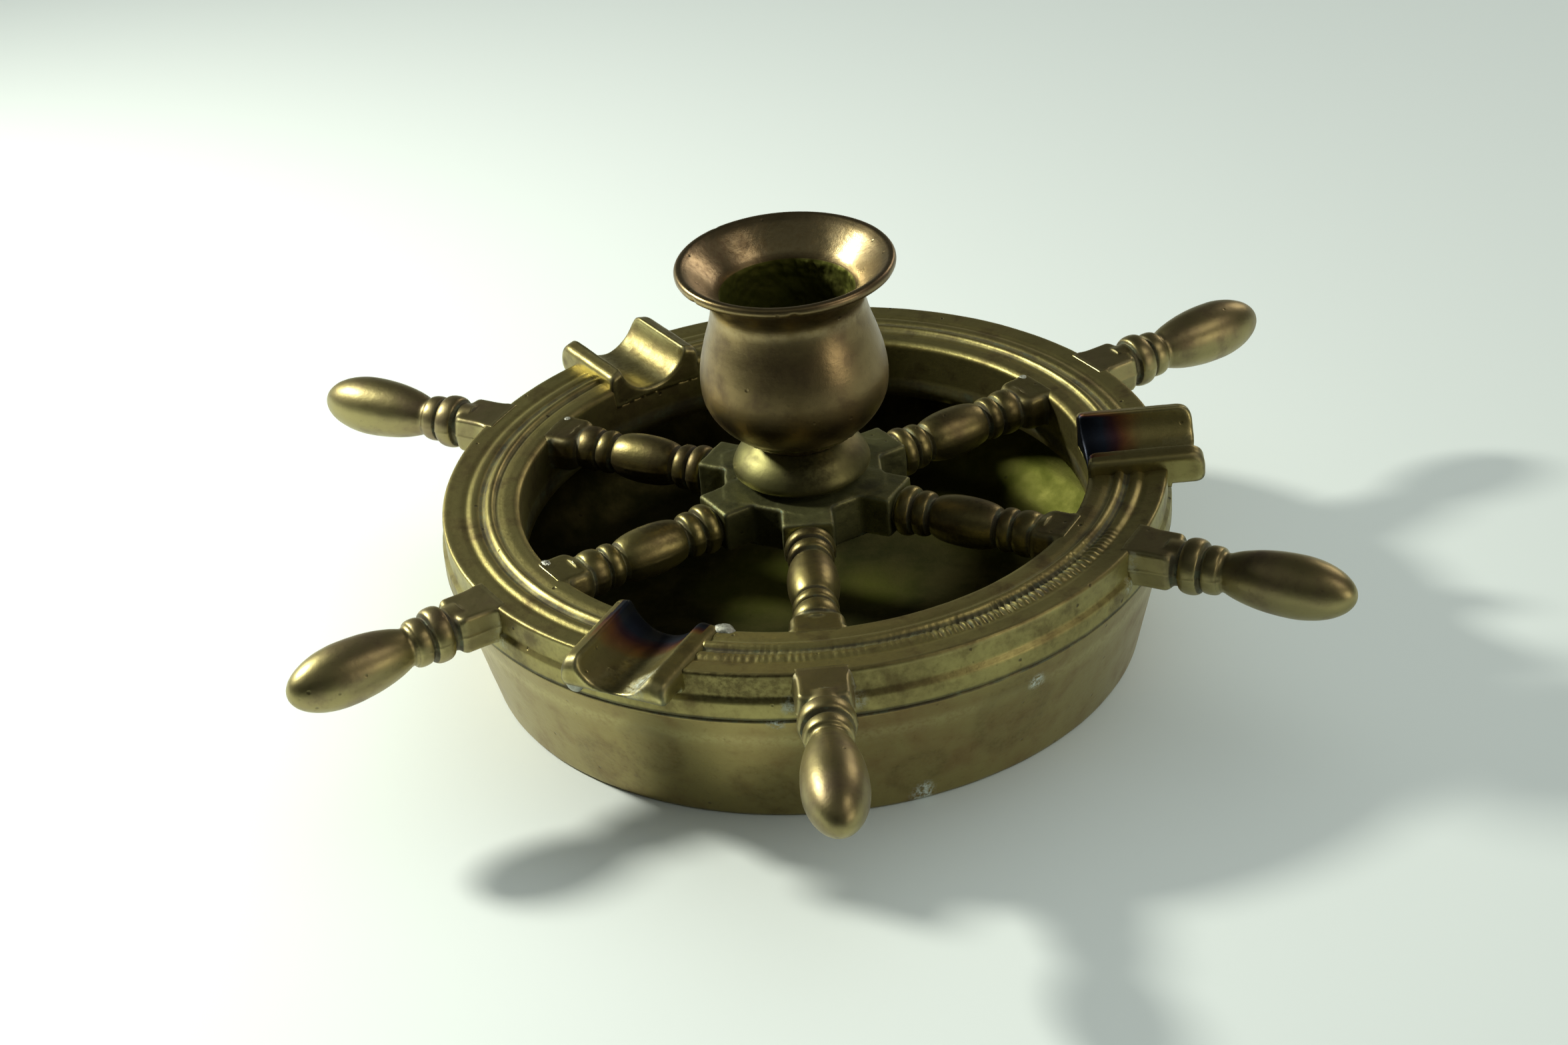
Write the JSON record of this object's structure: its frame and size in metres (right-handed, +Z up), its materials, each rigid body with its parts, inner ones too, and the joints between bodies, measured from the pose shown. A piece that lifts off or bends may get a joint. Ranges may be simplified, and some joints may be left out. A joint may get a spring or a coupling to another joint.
{
  "type": "ship's-wheel ashtray",
  "caption": "Ship's-wheel desk ashtray: tapered drum bowl under a lift-off wheel lid with turned spokes and handles, U-shaped rests on its rim and a vase-shaped socket cup on its hub.",
  "frame": {"origin": "centre of the bowl's flat underside, on the surface it stands on", "axes": "+Z up along the wheel's and cup's axis, -Y along handle_1, +X along rest_1"},
  "size_m": [0.1534, 0.1764, 0.0642],
  "materials": {
    "bowl_brass": "aged olive-brown patina, satin",
    "wheel_brass": "aged olive-brown patina, worn brighter on the high spots",
    "hub_brass": "dark patina with some verdigris",
    "cup_brass": "brown patina, satin",
    "foot_brass": "yellow-green aged brass, satin",
    "fastener_brass": "dull unpolished brass"
  },
  "bodies": {
    "bowl": {"bowl": "bowl_brass"},
    "cup": {"cup": "cup_brass", "cup_foot": "foot_brass", "cup_stud": "fastener_brass", "washer": "fastener_brass", "nut": "fastener_brass"},
    "wheel": {"rim": "wheel_brass", "hub": "hub_brass", "spoke_1": "wheel_brass", "spoke_2": "wheel_brass", "spoke_3": "wheel_brass", "spoke_4": "wheel_brass", "spoke_5": "wheel_brass", "spoke_6": "wheel_brass", "handle_1": "wheel_brass", "handle_2": "wheel_brass", "handle_3": "wheel_brass", "handle_4": "wheel_brass", "handle_5": "wheel_brass", "handle_6": "wheel_brass", "rest_1": "wheel_brass", "rest_2": "wheel_brass", "rest_3": "wheel_brass"}
  },
  "joints": [
    {"name": "lid_lift", "type": "slide", "parent": "bowl", "child": "cup", "axis": [0, 0, 1], "range_m": [0, 0.06]},
    {"name": "wheel_turn", "type": "hinge", "parent": "cup", "child": "wheel", "pos_m": [0, 0, 0.0247], "axis": [0, 0, 1], "continuous": true}
  ]
}
